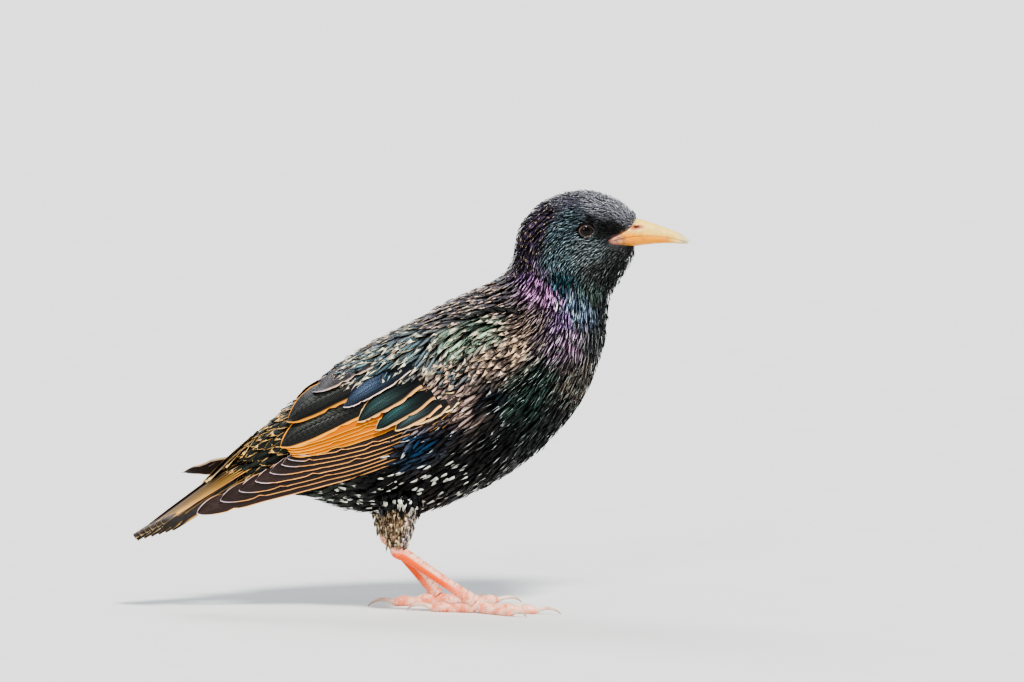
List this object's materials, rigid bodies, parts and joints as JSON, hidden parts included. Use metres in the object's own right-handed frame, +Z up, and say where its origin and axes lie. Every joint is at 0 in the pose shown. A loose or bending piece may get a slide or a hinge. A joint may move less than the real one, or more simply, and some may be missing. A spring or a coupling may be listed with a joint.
{
  "type": "starling",
  "caption": "Life-size still model of a European starling in fresh spotted plumage, standing with its head up and its wings folded.",
  "frame": {"origin": "on the floor, under the middle of the bird's outline", "axes": "+X towards the bill, +Z up, the bird's right side at -Y"},
  "size_m": [0.1844, 0.0562, 0.1384],
  "materials": {
    "plumage": "glossy dark feathers with green and purple sheen and pale tips",
    "wing_plumage": "brown-black flight feathers with buff and orange edges",
    "bill": "satin horn, yellow to pale pink",
    "eye": "wet, very dark brown",
    "shank_plumage": "short buff-edged feathers",
    "leg_skin": "scaled pink-orange skin",
    "claw": "satin horn"
  },
  "bodies": {
    "root": {"head": "plumage", "neck": "plumage", "torso": "plumage", "tail": "wing_plumage", "bill_upper": "bill", "bill_lower": "bill", "eye_right": "eye", "eye_left": "eye", "wing_right": "wing_plumage", "wing_left": "wing_plumage", "shank_right": "shank_plumage", "shank_left": "shank_plumage", "tarsus_right": "leg_skin", "tarsus_left": "leg_skin", "foot_right": "leg_skin", "foot_left": "leg_skin", "claw_right_hind": "claw", "claw_right_inner": "claw", "claw_right_middle": "claw", "claw_right_outer": "claw", "claw_left_hind": "claw", "claw_left_inner": "claw", "claw_left_middle": "claw", "claw_left_outer": "claw"}
  },
  "joints": []
}
